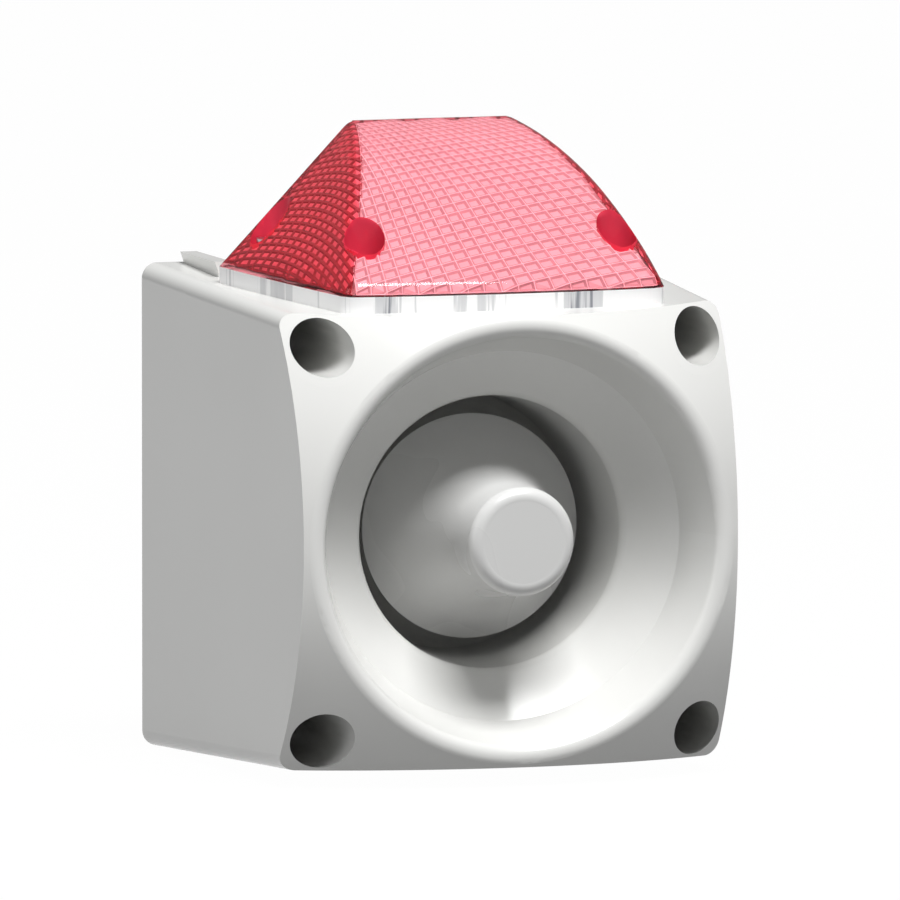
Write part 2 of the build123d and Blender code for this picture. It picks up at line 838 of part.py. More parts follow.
nodes = {
    "wall_base": wall_base(),
    "screw_inserts": screw_inserts(),
    "front_cover": front_cover(),
    "horn_pot": horn_pot(),
    "well_sleeves": well_sleeves(),
    "cover_gasket": cover_gasket(),
    "cover_screws": cover_screws(),
    "reflector_cone": reflector_cone(),
    "nose_cap": nose_cap(),
    "throat_tube": throat_tube(),
    "surround": surround(),
    "diaphragm": diaphragm(),
    "voice_coil": voice_coil(),
    "driver_frame": driver_frame(),
    "driver_top_plate": driver_top_plate(),
    "driver_magnet": driver_magnet(),
    "driver_yoke": driver_yoke(),
    "driver_screws": driver_screws(),
    "main_board": main_board(),
    "board_screws": board_screws(),
    "terminal_block": terminal_block(),
    "terminal_screws": terminal_screws(),
    "tone_switch": dial_body(*tone_place),
    "tone_dial": dial(*tone_place),
    "volume_control": dial_body(*volume_place),
    "volume_dial": dial(*volume_place),
    "capacitors": capacitors(),
    "control_chips": control_chips(),
    "blanking_plug": blanking_plug(),
    "plug_seal": plug_seal(),
    "lens": lens(),
    "lens_base": lens_base(),
    "lens_gasket": lens_gasket(),
    "lens_screws": lens_screws(),
    "light_board": light_board(),
    "light_board_screws": light_board_screws(),
    "lamps": lamps(),
}

for name, shape in nodes.items():
    if isinstance(shape, list):
        shape = Compound(children=shape)
    export_step(shape, "parts/" + name + ".step")
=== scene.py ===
import json
import math

import bpy
from mathutils import Matrix, Vector


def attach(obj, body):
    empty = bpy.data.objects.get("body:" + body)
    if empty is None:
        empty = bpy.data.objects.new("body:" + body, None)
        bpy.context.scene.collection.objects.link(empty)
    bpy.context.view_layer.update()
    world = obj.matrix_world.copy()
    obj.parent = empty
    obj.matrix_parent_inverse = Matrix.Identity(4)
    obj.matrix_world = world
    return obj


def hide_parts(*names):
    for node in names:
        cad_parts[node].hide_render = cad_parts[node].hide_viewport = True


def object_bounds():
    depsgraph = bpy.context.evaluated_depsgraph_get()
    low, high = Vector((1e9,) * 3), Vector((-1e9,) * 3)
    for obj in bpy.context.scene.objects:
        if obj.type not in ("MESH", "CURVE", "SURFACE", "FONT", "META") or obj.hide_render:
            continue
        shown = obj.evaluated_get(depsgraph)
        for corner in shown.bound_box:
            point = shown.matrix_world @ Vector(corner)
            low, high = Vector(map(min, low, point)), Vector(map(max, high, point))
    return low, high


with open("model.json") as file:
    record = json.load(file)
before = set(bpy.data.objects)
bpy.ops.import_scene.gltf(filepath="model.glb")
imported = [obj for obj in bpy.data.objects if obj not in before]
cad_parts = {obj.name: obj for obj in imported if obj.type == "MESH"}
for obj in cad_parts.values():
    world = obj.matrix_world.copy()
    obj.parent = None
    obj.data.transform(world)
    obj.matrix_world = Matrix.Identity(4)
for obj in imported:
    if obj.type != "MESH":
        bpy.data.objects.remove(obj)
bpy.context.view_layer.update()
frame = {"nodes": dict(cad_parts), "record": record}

# The photograph's direction and width, in the object's own frame
camera_turn = math.radians(18.143)
camera_rise = math.radians(5.781)
camera_distance = 8.0
picture_width = 0.24610
picture_shift = (0.01985, 0.01270)

# The light's own frame: it stands on the sloping top of the housing
housing_top = 0.0662
top_fall = math.radians(2.3)


def deselect_all():
    if bpy.context.object and bpy.context.object.mode != "OBJECT":
        bpy.ops.object.mode_set(mode="OBJECT")
    bpy.ops.object.select_all(action="DESELECT")


def pick(obj):
    deselect_all()
    obj.select_set(True)
    bpy.context.view_layer.objects.active = obj


def on_light(x, depth, height):
    """A point given in millimetres of the light's frame, in the object's frame."""
    y = -depth * math.cos(top_fall) - height * math.sin(top_fall)
    z = -depth * math.sin(top_fall) + height * math.cos(top_fall)
    return Vector((x / 1000, y / 1000, housing_top + z / 1000))


# Node groups

def new_group(name, inputs, outputs):
    group = bpy.data.node_groups.new(name, "ShaderNodeTree")
    for label, kind, value in inputs:
        socket = group.interface.new_socket(label, in_out="INPUT", socket_type=kind)
        if value is not None:
            socket.default_value = value
    for label, kind in outputs:
        group.interface.new_socket(label, in_out="OUTPUT", socket_type=kind)
    return group, group.nodes.new("NodeGroupInput"), group.nodes.new("NodeGroupOutput")


def moulded_skin_group():
    """Fine spark-eroded grain and a little handling haze of moulded plastic."""
    group, given, result = new_group(
        "Moulded skin",
        [("Colour", "NodeSocketColor", (0.8, 0.8, 0.8, 1)),
         ("Haze Colour", "NodeSocketColor", (0.7, 0.7, 0.7, 1)),
         ("Roughness", "NodeSocketFloat", 0.3),
         ("Grain Scale", "NodeSocketFloat", 2600.0),
         ("Grain Height", "NodeSocketFloat", 0.04),
         ("Haze", "NodeSocketFloat", 0.25)],
        [("Colour", "NodeSocketColor"), ("Roughness", "NodeSocketFloat"), ("Normal", "NodeSocketVector")])
    nodes, links = group.nodes, group.links
    place = nodes.new("ShaderNodeTexCoord")
    grain = nodes.new("ShaderNodeTexNoise")
    grain.inputs["Detail"].default_value = 2.0
    links.new(place.outputs["Object"], grain.inputs["Vector"])
    links.new(given.outputs["Grain Scale"], grain.inputs["Scale"])
    cloud = nodes.new("ShaderNodeTexNoise")
    cloud.inputs["Scale"].default_value = 18.0
    cloud.inputs["Detail"].default_value = 2.0
    links.new(place.outputs["Object"], cloud.inputs["Vector"])
    spread = nodes.new("ShaderNodeMapRange")
    spread.interpolation_type = "SMOOTHSTEP"
    spread.inputs["From Min"].default_value = 0.25
    spread.inputs["From Max"].default_value = 0.80
    links.new(cloud.outputs["Fac"], spread.inputs["Value"])
    amount = nodes.new("ShaderNodeMath")
    amount.operation = "MULTIPLY"
    links.new(spread.outputs["Result"], amount.inputs[0])
    links.new(given.outputs["Haze"], amount.inputs[1])
    tone = nodes.new("ShaderNodeMix")
    tone.data_type = "RGBA"
    links.new(amount.outputs["Value"], tone.inputs["Factor"])
    links.new(given.outputs["Colour"], tone.inputs["A"])
    links.new(given.outputs["Haze Colour"], tone.inputs["B"])
    links.new(tone.outputs["Result"], result.inputs["Colour"])
    rough = nodes.new("ShaderNodeMath")
    rough.operation = "MULTIPLY_ADD"
    links.new(amount.outputs["Value"], rough.inputs[0])
    rough.inputs[1].default_value = 0.25
    links.new(given.outputs["Roughness"], rough.inputs[2])
    links.new(rough.outputs["Value"], result.inputs["Roughness"])
    bump = nodes.new("ShaderNodeBump")
    bump.inputs["Distance"].default_value = 0.0002
    links.new(given.outputs["Grain Height"], bump.inputs["Strength"])
    links.new(grain.outputs["Fac"], bump.inputs["Height"])
    links.new(bump.outputs["Normal"], result.inputs["Normal"])
    return group


def brushed_group():
    """Fine turned and rolled lines of bare metal, with duller patches."""
    group, given, result = new_group(
        "Brushed metal",
        [("Colour", "NodeSocketColor", (0.7, 0.7, 0.7, 1)),
         ("Dull Colour", "NodeSocketColor", (0.5, 0.5, 0.5, 1)),
         ("Roughness", "NodeSocketFloat", 0.25),
         ("Line Scale", "NodeSocketFloat", 1800.0)],
        [("Colour", "NodeSocketColor"), ("Roughness", "NodeSocketFloat"), ("Normal", "NodeSocketVector")])
    nodes, links = group.nodes, group.links
    place = nodes.new("ShaderNodeTexCoord")
    stretch = nodes.new("ShaderNodeMapping")
    stretch.inputs["Scale"].default_value = (1.0, 0.08, 1.0)
    links.new(place.outputs["Object"], stretch.inputs["Vector"])
    lines = nodes.new("ShaderNodeTexNoise")
    lines.inputs["Detail"].default_value = 3.0
    links.new(stretch.outputs["Vector"], lines.inputs["Vector"])
    links.new(given.outputs["Line Scale"], lines.inputs["Scale"])
    cloud = nodes.new("ShaderNodeTexNoise")
    cloud.inputs["Scale"].default_value = 160.0
    links.new(place.outputs["Object"], cloud.inputs["Vector"])
    tone = nodes.new("ShaderNodeMix")
    tone.data_type = "RGBA"
    links.new(cloud.outputs["Fac"], tone.inputs["Factor"])
    links.new(given.outputs["Colour"], tone.inputs["A"])
    links.new(given.outputs["Dull Colour"], tone.inputs["B"])
    links.new(tone.outputs["Result"], result.inputs["Colour"])
    rough = nodes.new("ShaderNodeMath")
    rough.operation = "MULTIPLY_ADD"
    links.new(lines.outputs["Fac"], rough.inputs[0])
    rough.inputs[1].default_value = 0.2
    links.new(given.outputs["Roughness"], rough.inputs[2])
    links.new(rough.outputs["Value"], result.inputs["Roughness"])
    bump = nodes.new("ShaderNodeBump")
    bump.inputs["Strength"].default_value = 0.15
    bump.inputs["Distance"].default_value = 0.0001
    links.new(lines.outputs["Fac"], bump.inputs["Height"])
    links.new(bump.outputs["Normal"], result.inputs["Normal"])
    return group


moulded_skin = moulded_skin_group()
brushed_metal = brushed_group()


def new_material(name, group, **settings):
    """A material whose Principled shader takes colour, roughness and normal from a shared group."""
    material = bpy.data.materials.new(name)
    material.use_nodes = True
    nodes, links = material.node_tree.nodes, material.node_tree.links
    shader = nodes["Principled BSDF"]
    skin = nodes.new("ShaderNodeGroup")
    skin.node_tree = group
    for label, value in settings.items():
        label = label.replace("_", " ")
        if label in skin.inputs:
            skin.inputs[label].default_value = value
        else:
            shader.inputs[label].default_value = value
    links.new(skin.outputs["Colour"], shader.inputs["Base Color"])
    links.new(skin.outputs["Roughness"], shader.inputs["Roughness"])
    links.new(skin.outputs["Normal"], shader.inputs["Normal"])
    return material


def plastic(name, colour, haze_colour, roughness, **more):
    return new_material(name, moulded_skin, Colour=(*colour, 1), Haze_Colour=(*haze_colour, 1),
                        Roughness=roughness, **more)


def metal(name, colour, dull_colour, roughness, **more):
    return new_material(name, brushed_metal, Colour=(*colour, 1), Dull_Colour=(*dull_colour, 1),
                        Roughness=roughness, Metallic=1.0, **more)


def refraction_bands_group():
    """Painted upright light and dark bands, standing in for what a thick clear plate shows of what lies
    behind its edge.
    """
    group, given, result = new_group(
        "Painted refraction bands",
        [("Colour", "NodeSocketColor", (1, 1, 1, 1)),
         ("Band Colour", "NodeSocketColor", (0.4, 0.4, 0.45, 1)),
         ("Roughness", "NodeSocketFloat", 0.05),
         ("Band Scale", "NodeSocketFloat", 62.0)],
        [("Colour", "NodeSocketColor"), ("Roughness", "NodeSocketFloat"), ("Normal", "NodeSocketVector")])
    nodes, links = group.nodes, group.links
    place = nodes.new("ShaderNodeTexCoord")
    flat = nodes.new("ShaderNodeMapping")
    flat.inputs["Scale"].default_value = (1.0, 0.8, 0.02)
    flat.inputs["Location"].default_value = (0.0, 0.031, 0.0)
    links.new(place.outputs["Object"], flat.inputs["Vector"])
    wide = nodes.new("ShaderNodeTexNoise")
    wide.inputs["Detail"].default_value = 5.0
    wide.inputs["Roughness"].default_value = 0.72
    links.new(flat.outputs["Vector"], wide.inputs["Vector"])
    links.new(given.outputs["Band Scale"], wide.inputs["Scale"])
    steps = nodes.new("ShaderNodeValToRGB")
    steps.color_ramp.elements[0].position = 0.37
    steps.color_ramp.elements[0].color = (1, 1, 1, 1)
    steps.color_ramp.elements[1].position = 0.47
    steps.color_ramp.elements[1].color = (0, 0, 0, 1)
    for place_on_ramp, share in ((0.385, 0.45), (0.455, 0.38)):
        step = steps.color_ramp.elements.new(place_on_ramp)
        step.color = (share, share, share, 1)
    links.new(wide.outputs["Fac"], steps.inputs["Fac"])
    tone = nodes.new("ShaderNodeMix")
    tone.data_type = "RGBA"
    links.new(steps.outputs["Color"], tone.inputs["Factor"])
    links.new(given.outputs["Colour"], tone.inputs["A"])
    links.new(given.outputs["Band Colour"], tone.inputs["B"])
    links.new(tone.outputs["Result"], result.inputs["Colour"])
    links.new(given.outputs["Roughness"], result.inputs["Roughness"])
    bump = nodes.new("ShaderNodeBump")
    bump.inputs["Strength"].default_value = 0.5
    bump.inputs["Distance"].default_value = 0.0004
    links.new(wide.outputs["Fac"], bump.inputs["Height"])
    links.new(bump.outputs["Normal"], result.inputs["Normal"])
    return group


refraction_bands = refraction_bands_group()


def banded(name, colour, band_colour, roughness, **more):
    return new_material(name, refraction_bands, Colour=(*colour, 1), Band_Colour=(*band_colour, 1),
                        Roughness=roughness, **more)


finishes = {
    "housing": plastic("Light grey ABS", (0.79, 0.79, 0.77), (0.75, 0.75, 0.73), 0.16, Haze=0.25),
    "cone": plastic("Grey ABS", (0.72, 0.72, 0.71), (0.66, 0.66, 0.65), 0.26, Haze=0.3),
    # Pale pink of the front and top of the lens: the lens's red, partly lightened by a painted white
    # reflection
    "lens_red": plastic("Red polycarbonate", (1.0, 0.58, 0.63), (1.0, 0.56, 0.61), 0.02, Haze=0.04,
                        Grain_Height=0.0, Transmission_Weight=1.0, IOR=1.1, Coat_Weight=0.6,
                        Coat_Roughness=0.1),
    # White colour and grey bands of the clear base: painted light and dark refraction of what lies behind
    # it, not the plate's own colour
    "clear": banded("Clear polycarbonate with painted refraction", (1.0, 1.0, 1.0), (0.27, 0.28, 0.31), 0.04,
                    Transmission_Weight=0.1, IOR=1.15, Coat_Weight=1.0, Coat_Roughness=0.03),
    "steel": metal("Stainless steel", (0.62, 0.62, 0.63), (0.50, 0.50, 0.51), 0.18),
    "zinc": metal("Zinc plate", (0.70, 0.71, 0.73), (0.55, 0.56, 0.60), 0.25),
    "brass": metal("Turned brass", (0.78, 0.60, 0.30), (0.62, 0.44, 0.20), 0.2),
    "seal": plastic("Silicone rubber", (0.06, 0.06, 0.06), (0.09, 0.09, 0.09), 0.55, Grain_Height=0.2),
    "abs_black": plastic("Black ABS", (0.035, 0.035, 0.036), (0.06, 0.06, 0.06), 0.38, Grain_Height=0.15),
    "ferrite": plastic("Sintered ferrite", (0.07, 0.07, 0.075), (0.12, 0.11, 0.11), 0.6, Grain_Height=0.3),
    "film": plastic("Amber film", (0.72, 0.52, 0.24), (0.62, 0.42, 0.18), 0.25),
    "winding": metal("Enamelled wire", (0.72, 0.34, 0.16), (0.52, 0.22, 0.10), 0.3),
    "board": plastic("Solder mask", (0.02, 0.17, 0.06), (0.04, 0.24, 0.10), 0.25, Haze=0.6),
    "terminal": plastic("Terminal green", (0.05, 0.35, 0.12), (0.08, 0.42, 0.18), 0.35),
    "switch_body": plastic("Switch blue", (0.04, 0.09, 0.33), (0.07, 0.13, 0.40), 0.35),
    "dial": plastic("White dial", (0.85, 0.85, 0.83), (0.78, 0.78, 0.75), 0.35),
    "can": metal("Aluminium can", (0.80, 0.81, 0.82), (0.66, 0.67, 0.69), 0.2),
    "board_white": plastic("White solder mask", (0.86, 0.86, 0.84), (0.80, 0.80, 0.78), 0.25, Haze=0.6),
    "seal_pale": plastic("Pale silicone rubber", (0.80, 0.80, 0.78), (0.72, 0.72, 0.70), 0.5,
                         Grain_Height=0.2),
    "lamp": plastic("Lamp resin", (0.90, 0.86, 0.60), (0.93, 0.90, 0.72), 0.12, Haze=0.5),
}

prism_finishes = {
    # Pale pink of the front prisms: red, partly lightened by a painted white reflection
    "prism_pink": plastic("Red prisms with painted pale reflection", (1.0, 0.61, 0.65), (1.0, 0.52, 0.56), 0.08, Haze=0.3,
                          Grain_Height=0.0, Transmission_Weight=0.2, IOR=1.45),
    # Flanks of the front prisms: a darker copy of the pale red, painted shade that draws a chevron in each
    # cell
    "prism_painted_shade": plastic("Prism flanks in painted shade", (0.66, 0.36, 0.39), (0.56, 0.26, 0.29), 0.10, Haze=0.4,
                           Grain_Height=0.0, Transmission_Weight=0.1, IOR=1.45),
    # Ridges between the front cells: a paler, opaque copy of the pink, a painted highlight along each
    # ridge
    "prism_ridge_painted_highlight": plastic("Prism ridges with painted highlight", (1.0, 0.64, 0.68), (1.0, 0.56, 0.60), 0.08, Haze=0.3,
                           Grain_Height=0.0),
    "prism_deep": plastic("Deep red prisms", (0.95, 0.20, 0.26), (0.85, 0.12, 0.17), 0.10, Haze=0.5,
                          Grain_Height=0.0, Transmission_Weight=0.3, IOR=1.3),
    # Near-black red for the flanks and ridges of the side and back blocks: painted shade in the gaps
    # between the courses
    "prism_gap_painted_shade": plastic("Red prism flanks in painted shade", (0.24, 0.02, 0.03), (0.40, 0.035, 0.05), 0.15, Haze=0.6,
                         Grain_Height=0.0),
    "side_red": plastic("Red polycarbonate sides", (1.0, 0.36, 0.40), (1.0, 0.32, 0.36), 0.02, Haze=0.04,
                        Grain_Height=0.0, Transmission_Weight=1.0, IOR=1.1, Coat_Weight=0.6,
                        Coat_Roughness=0.03),
    "well_red": plastic("Deep red well", (0.88, 0.05, 0.10), (0.75, 0.03, 0.07), 0.08, Haze=0.5,
                        Grain_Height=0.0, Transmission_Weight=0.2, IOR=1.2),
}

slot_of = {part["node"]: part["material_slot"] for part in frame["record"]["subparts"]}
body_of = {node: body for body, nodes in frame["record"]["behaviour"]["bodies"].items() for node in nodes}

for node, obj in frame["nodes"].items():
    obj.data.materials.clear()
    obj.data.materials.append(finishes[slot_of[node]])


def dress(obj, slot, body="housing"):
    """Gives a finished piece its finish and the CAD body that it rides on."""
    obj.data.materials.clear()
    obj.data.materials.append(prism_finishes.get(slot) or finishes[slot])
    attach(obj, body)


def lens_copy():
    """A copy of the lens that can take more than one finish, in place of the CAD node."""
    copy = frame["nodes"]["lens"].copy()
    copy.data = copy.data.copy()
    copy.name = "lens_shell"
    copy.parent = None
    bpy.context.collection.objects.link(copy)
    dress(copy, slot_of["lens"], body_of["lens"])
    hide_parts("lens")
    return copy


lens_shell = lens_copy()


# Prisms inside the lens

# Sizes in millimetres of the light's frame: side and depth of each screw well, then the well's bore,
# the outside of its wall and the tube that is cut out of the prism sheets
lens_wells = [(35.8, 98.3), (-35.8, 98.3), (46.9, 50.0), (-46.9, 50.0)]
well_radius = 5.45
tube_radius = 7.45
drill_radius = 5.5

# The prism sheets lie this far under the outer face, between a level foot and the leaning back
prism_depth = 0.5
prism_foot = 5.0
side_head = 44.0
back_head = 43.4
rear_low = (42.7, 0)
rear_high = (44.5, 50)

# The lower rim of the lens, and how far its skirt is drawn down to press the sheets on
rim_height = 4.7
skirt_drop = 14

# A front corner of the lens: its side at depth and height zero, its slopes with depth and height,
# and how far inwards of it the front's and the sides' sheets end
corner_start = 24.3
corner_spread = 0.193
corner_lean = 0.249
front_gap = 0.7
side_gap = 1.0

# Three places on a front corner, as depth and height, and three on a side edge of the back
corner_line = [(113, 4), (94, 27), (60, 42)]
back_edge = [(59.2, 44, 4), (15.7, 44, 50), (59.2, 60, 4)]
lens_middle = (0, 80, 20)


def in_light(point):
    """Side, depth and height of a point in millimetres of the light's frame."""
    y, z = point.y, point.z - housing_top
    depth = -y * math.cos(top_fall) - z * math.sin(top_fall)
    height = z * math.cos(top_fall) - y * math.sin(top_fall)
    return point.x * 1000, depth * 1000, height * 1000


def corner_x(depth, height):
    """How far out the front corners of the lens stand, at a depth and a height on them."""
    return corner_start + corner_spread * depth - corner_lean * height


def from_well(x, depth):
    """Distance from the axis of the nearest screw well."""
    return min(math.hypot(x - well_x, depth - well_depth) for well_x, well_depth in lens_wells)


def delete_where(obj, kind, unwanted):
    """Deletes the faces or the corners of a mesh that a test picks out."""
    pick(obj)
    bpy.ops.object.mode_set(mode="EDIT")
    bpy.ops.mesh.select_mode(type=kind)
    bpy.ops.mesh.select_all(action="DESELECT")
    bpy.ops.object.mode_set(mode="OBJECT")
    for item in obj.data.polygons if kind == "FACE" else obj.data.vertices:
        item.select = unwanted(item)
    bpy.ops.object.mode_set(mode="EDIT")
    bpy.ops.mesh.delete(type=kind)
    bpy.ops.object.mode_set(mode="OBJECT")


def lens_former():
    """The outer form of the lens with its screw wells filled, to press the prism sheets on."""
    pick(lens_shell)
    bpy.ops.object.duplicate()
    former = bpy.context.object
    former.name = "lens_former"
    for corner in former.data.vertices:
        x, depth, height = in_light(corner.co)
        if height < rim_height:
            corner.co = on_light(x, depth, height - skirt_drop)
    bpy.ops.object.mode_set(mode="EDIT")
    bpy.ops.mesh.select_all(action="SELECT")
    bpy.ops.mesh.remove_doubles(threshold=0.000002)
    bpy.ops.object.mode_set(mode="OBJECT")
    off_axis = [from_well(*in_light(corner.co)[:2]) for corner in former.data.vertices]
    delete_where(former, "FACE", lambda face: all(off_axis[corner] < well_radius + 0.1
                                                  for corner in face.vertices))
    bpy.ops.object.mode_set(mode="EDIT")
    bpy.ops.mesh.select_all(action="SELECT")
    bpy.ops.mesh.fill_holes(sides=0)
    bpy.ops.object.mode_set(mode="OBJECT")
    return former


def lattice(name, columns, rows, column_pitch, row_pitch):
    """Flat grid in millimetre cells, centred on the origin."""
    deselect_all()
    bpy.ops.mesh.primitive_grid_add(x_subdivisions=columns, y_subdivisions=rows, size=1.0)
    sheet = bpy.context.object
    sheet.name = name
    sheet.scale = (columns * column_pitch / 1000, rows * row_pitch / 1000, 1)
    bpy.ops.object.transform_apply(location=False, rotation=False, scale=True)
    return sheet


def lay_inside(sheet, former, middle, along, up):
    """Presses a flat sheet on the lens from outside, then sinks it just under the outer face."""
    press_height, press_reach = 0.04, 0.09
    x_axis, y_axis = along.normalized(), up.normalized()
    z_axis = x_axis.cross(y_axis).normalized()
    y_axis = z_axis.cross(x_axis)
    turn = Matrix((x_axis, y_axis, z_axis)).transposed().to_4x4()
    press = sheet.modifiers.new("Press", "SHRINKWRAP")
    press.wrap_method = "PROJECT"
    press.target = former
    press.use_project_z = True
    press.use_positive_direction = False
    press.use_negative_direction = True
    press.project_limit = press_reach
    sheet.matrix_world = Matrix.Translation(middle + press_height * z_axis) @ turn
    bpy.context.view_layer.update()
    pick(sheet)
    bpy.ops.object.modifier_apply(modifier="Press")
    delete_where(sheet, "VERT", lambda corner: abs(corner.co.z) < 0.000001)
    sheet.data.transform(Matrix.Translation((0, 0, -prism_depth / 1000)))
    bpy.ops.object.transform_apply(location=True, rotation=True, scale=True)


def cut_along(sheet, points, keep):
    """Cuts the sheet along the plane through three points and leaves the side of a fourth."""
    first, second, third = [on_light(*point) for point in points]
    across = (second - first).cross(third - first).normalized()
    if across.dot(on_light(*keep) - first) < 0:
        across = -across
    pick(sheet)
    bpy.ops.object.mode_set(mode="EDIT")
    bpy.ops.mesh.select_all(action="SELECT")
    bpy.ops.mesh.bisect(plane_co=first, plane_no=across, clear_inner=True, clear_outer=False)
    bpy.ops.object.mode_set(mode="OBJECT")


def cut_level(sheet, height):
    """Cuts the sheet level at a height, and leaves what lies towards the middle of the lens."""
    cut_along(sheet, [(0, 80, height), (10, 80, height), (0, 50, height)], lens_middle)


def cut_rear(sheet):
    """Cuts the sheet just in front of the leaning back of the lens."""
    cut_along(sheet, [(0, *rear_low), (10, *rear_low), (0, *rear_high)], lens_middle)


def corner_points(side, margin):
    """Three points on the plane through a front corner of the lens, moved outwards by a margin."""
    return [(side * (corner_x(depth, height) + margin), depth, height)
            for depth, height in corner_line]


def cut_wells(sheet):
    """Cuts the screw wells out of a prism sheet along four upright tubes."""
    drill_length, drill_height = 0.09, 25
    for x, depth in lens_wells:
        deselect_all()
        bpy.ops.mesh.primitive_cylinder_add(vertices=48, radius=drill_radius / 1000, depth=drill_length,
                                            end_fill_type="NOTHING", rotation=(top_fall, 0, 0),
                                            location=on_light(x, depth, drill_height))
        drill = bpy.context.object
        pick(sheet)
        bpy.ops.object.mode_set(mode="EDIT")
        bpy.ops.mesh.select_all(action="DESELECT")
        bpy.ops.object.mode_set(mode="OBJECT")
        drill.select_set(True)
        bpy.ops.object.join()
        bpy.ops.object.mode_set(mode="EDIT")
        bpy.ops.mesh.intersect(mode="SELECT_UNSELECT", separate_mode="NONE", solver="EXACT")
        bpy.ops.object.mode_set(mode="OBJECT")
        off_axis = [from_well(*in_light(corner.co)[:2]) for corner in sheet.data.vertices]
        delete_where(sheet, "FACE", lambda face: all(off_axis[corner] < drill_radius + 0.02
                                                     for corner in face.vertices))


def sink_cells(sheet, rim, flank, sink):
    """Leaves a ridge round every cell and sinks its middle between sloping flanks."""
    pick(sheet)
    bpy.ops.object.mode_set(mode="EDIT")
    bpy.ops.mesh.select_mode(type="FACE")
    bpy.ops.mesh.select_all(action="SELECT")
    bpy.ops.mesh.inset(thickness=rim / 1000, depth=0, use_individual=True)
    bpy.ops.object.mode_set(mode="OBJECT")
    ridges = {face.index for face in sheet.data.polygons if not face.select}
    bpy.ops.object.mode_set(mode="EDIT")
    bpy.ops.mesh.inset(thickness=flank / 1000, depth=-sink / 1000, use_individual=True)
    bpy.ops.object.mode_set(mode="OBJECT")
    # Flanks take the sheet's second finish and ridges its third: painted shade on the flanks, and on the
    # front sheet a painted highlight on the ridges
    for face in sheet.data.polygons:
        if not face.select and face.index not in ridges:
            face.material_index = 1
        elif face.index in ridges:
            face.material_index = 2


def prism_sheet(sheet, faces, flanks, ridges):
    """Gives a sheet one finish for its sunk faces, one for their flanks and one for the ridges; the flanks
    carry painted shade, and the ridges painted shade or a painted highlight.
    """
    dress(sheet, faces)
    sheet.data.materials.append(prism_finishes[flanks])
    sheet.data.materials.append(prism_finishes[ridges])


def front_prisms(former):
    """Slanting lattice of prisms behind the sloping front of the lens."""
    sheet = lattice("front_prisms", columns=52, rows=42, column_pitch=4.0, row_pitch=3.17)
    row_tilt, column_lean = math.radians(14), math.radians(17)
    middle_width, narrowing, least_width = 0.86, 8.0, 0.4
    for corner in sheet.data.vertices:
        corner.co.x *= max(least_width, middle_width - narrowing * corner.co.y)
    sheet.data.transform(Matrix(((math.cos(row_tilt), -math.sin(column_lean), 0, 0),
                                 (math.sin(row_tilt), math.cos(column_lean), 0, 0),
                                 (0, 0, 1, 0), (0, 0, 0, 1))))
    low, high = on_light(0, 106.0, 9.0), on_light(0, 46.0, 38.5)
    lay_inside(sheet, former, (low + high) / 2, Vector((1, 0, 0)), high - low)
    prism_sheet(sheet, "prism_pink", "prism_painted_shade", "prism_ridge_painted_highlight")
    cut_rear(sheet)
    cut_level(sheet, prism_foot)
    for side in (-1, 1):
        cut_along(sheet, corner_points(side, -front_gap), lens_middle)
    sink_cells(sheet, rim=0.12, flank=0.62, sink=0.60)
    cut_wells(sheet)
    return sheet


def side_prisms(former, side):
    """Arched courses of small blocks behind a leaning side of the lens."""
    name = "left_prisms" if side < 0 else "right_prisms"
    sheet = lattice(name, columns=24, rows=30, column_pitch=3.9, row_pitch=2.45)
    arch, crown_shift = 5.6, 0.002
    for corner in sheet.data.vertices:
        corner.co.y -= arch * (corner.co.x * -side + crown_shift) ** 2
    low, high = on_light(side * 46.0, 82.0, 8.0), on_light(side * 20.5, 82.0, 41.0)
    forward = on_light(0, 100, 0) - on_light(0, 60, 0)
    lay_inside(sheet, former, (low + high) / 2, forward * -side, high - low)
    prism_sheet(sheet, "prism_deep", "prism_gap_painted_shade", "prism_gap_painted_shade")
    cut_rear(sheet)
    cut_level(sheet, prism_foot)
    cut_level(sheet, side_head)
    cut_along(sheet, corner_points(side, -side_gap), (side * 60, 60, 4))
    sink_cells(sheet, rim=0.22, flank=0.40, sink=0.5)
    cut_wells(sheet)
    return sheet


def back_prisms():
    """Straight courses of the same blocks behind the flat back of the lens."""
    sheet = lattice("back_prisms", columns=32, rows=18, column_pitch=3.9, row_pitch=2.45)
    low, high = on_light(0, 42.7, prism_foot), on_light(0, 44.1, back_head)
    x_axis, y_axis = Vector((-1, 0, 0)), (high - low).normalized()
    turn = Matrix((x_axis, y_axis, x_axis.cross(y_axis))).transposed().to_4x4()
    sheet.data.transform(Matrix.Translation((low + high) / 2) @ turn)
    prism_sheet(sheet, "prism_deep", "prism_gap_painted_shade", "prism_gap_painted_shade")
    cut_level(sheet, prism_foot)
    cut_level(sheet, back_head)
    for side in (-1, 1):
        edge = [(side * x, depth, height) for x, depth, height in back_edge]
        cut_along(sheet, edge, lens_middle)
    sink_cells(sheet, rim=0.22, flank=0.40, sink=0.5)
    return sheet


def redden_lens():
    """The screw wells look the deepest red, and the sides and the back are deeper than the front and top,
    which keep a pale pink that is partly a painted white reflection.
    """
    near, upright, leaning, facing_back = 0.2, 0.1, 0.45, 0.9
    lens_shell.data.materials.append(prism_finishes["well_red"])
    lens_shell.data.materials.append(prism_finishes["side_red"])
    for face in lens_shell.data.polygons:
        reach = from_well(*in_light(face.center)[:2])
        in_tube = abs(reach - tube_radius) < near and abs(face.normal.z) < upright
        if reach < well_radius + near or in_tube:
            face.material_index = 1
        elif abs(face.normal.x) > leaning or face.normal.y > facing_back:
            face.material_index = 2


former = lens_former()
for sheet in (front_prisms(former), side_prisms(former, -1), side_prisms(former, 1), back_prisms()):
    if not sheet.data.polygons:
        raise RuntimeError(sheet.name + " has no faces left")
bpy.data.objects.remove(former)
redden_lens()


# Floor, light and camera

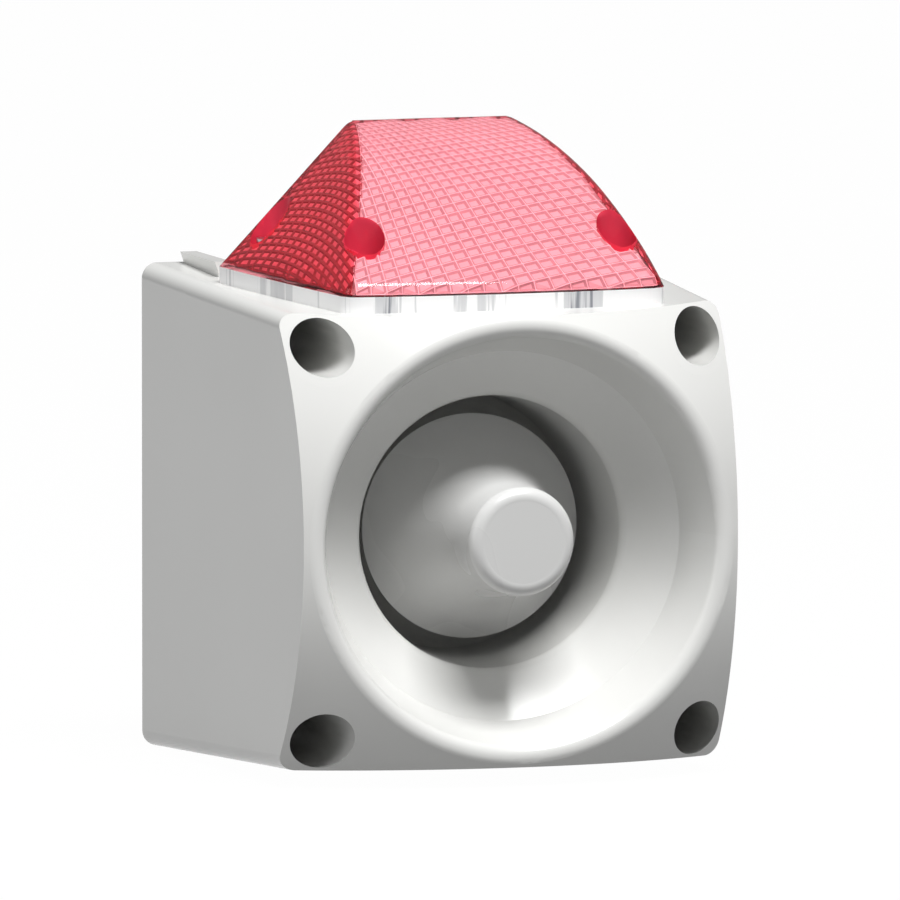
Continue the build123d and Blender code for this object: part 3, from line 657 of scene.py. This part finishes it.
def add_floor():
    deselect_all()
    bpy.ops.mesh.primitive_plane_add(size=6.0, location=(0, 0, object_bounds()[0][2] - 0.0002))
    floor = bpy.context.object
    floor.name = "floor"
    material = bpy.data.materials.new("Pale floor")
    material.use_nodes = True
    nodes, links = material.node_tree.nodes, material.node_tree.links
    shader = nodes["Principled BSDF"]
    shader.inputs["Base Color"].default_value = (0.21, 0.21, 0.21, 1)
    shader.inputs["Roughness"].default_value = 0.9
    path = nodes.new("ShaderNodeLightPath")
    glow = nodes.new("ShaderNodeEmission")
    glow.inputs["Strength"].default_value = 1.05
    seen = nodes.new("ShaderNodeMath")
    seen.operation = "MAXIMUM"
    links.new(path.outputs["Is Camera Ray"], seen.inputs[0])
    links.new(path.outputs["Is Glossy Ray"], seen.inputs[1])
    clear = nodes.new("ShaderNodeMath")
    clear.operation = "MAXIMUM"
    links.new(seen.outputs["Value"], clear.inputs[0])
    links.new(path.outputs["Is Transmission Ray"], clear.inputs[1])
    share = nodes.new("ShaderNodeMath")
    share.operation = "MULTIPLY"
    share.inputs[1].default_value = 0.94
    links.new(clear.outputs["Value"], share.inputs[0])
    mix = nodes.new("ShaderNodeMixShader")
    links.new(share.outputs["Value"], mix.inputs["Fac"])
    links.new(shader.outputs["BSDF"], mix.inputs[1])
    links.new(glow.outputs["Emission"], mix.inputs[2])
    links.new(mix.outputs["Shader"], nodes["Material Output"].inputs["Surface"])
    floor.data.materials.append(material)


def add_world():
    world = bpy.data.worlds.new("Studio")
    bpy.context.scene.world = world
    world.use_nodes = True
    nodes, links = world.node_tree.nodes, world.node_tree.links
    light = nodes["Background"]
    light.inputs["Color"].default_value = (0.97, 0.98, 1.0, 1)
    light.inputs["Strength"].default_value = 0.19
    white = nodes.new("ShaderNodeBackground")
    white.inputs["Color"].default_value = (1, 1, 1, 1)
    white.inputs["Strength"].default_value = 1.0
    path = nodes.new("ShaderNodeLightPath")
    seen = nodes.new("ShaderNodeMath")
    seen.operation = "MAXIMUM"
    links.new(path.outputs["Is Camera Ray"], seen.inputs[0])
    links.new(path.outputs["Is Transmission Ray"], seen.inputs[1])
    mix = nodes.new("ShaderNodeMixShader")
    links.new(seen.outputs["Value"], mix.inputs["Fac"])
    links.new(light.outputs["Background"], mix.inputs[1])
    links.new(white.outputs["Background"], mix.inputs[2])
    links.new(mix.outputs["Shader"], nodes["World Output"].inputs["Surface"])


def add_lamp(name, place, target, size, energy):
    data = bpy.data.lights.new(name, "AREA")
    data.shape = "RECTANGLE"
    data.size, data.size_y = size
    data.energy = energy
    lamp = bpy.data.objects.new(name, data)
    bpy.context.collection.objects.link(lamp)
    lamp.location = place
    lamp.rotation_euler = (Vector(target) - Vector(place)).to_track_quat("-Z", "Y").to_euler()


def add_camera():
    right = Vector((math.cos(camera_turn), -math.sin(camera_turn), 0))
    back = Vector((-math.sin(camera_turn) * math.cos(camera_rise),
                   -math.cos(camera_turn) * math.cos(camera_rise), math.sin(camera_rise)))
    up = back.cross(right)
    centre = right * picture_shift[0] + up * picture_shift[1]
    data = bpy.data.cameras.new("Camera")
    data.sensor_width = 36.0
    data.lens = 36.0 * camera_distance / picture_width
    data.clip_end = 60.0
    camera = bpy.data.objects.new("Camera", data)
    bpy.context.collection.objects.link(camera)
    turn = Matrix((right, up, back)).transposed().to_4x4()
    camera.matrix_world = Matrix.Translation(centre + back * camera_distance) @ turn
    bpy.context.scene.camera = camera


add_floor()
add_world()
siren_middle = (0, -0.05, 0.02)
add_lamp("Top softbox", (0.05, -0.71, 1.26), siren_middle, size=(0.7, 0.5), energy=25.0)
add_lamp("Left fill", (-1.3, -0.25, 0.35), siren_middle, size=(0.6, 0.8), energy=2.75)
add_camera()
bpy.context.scene.view_settings.view_transform = "Standard"
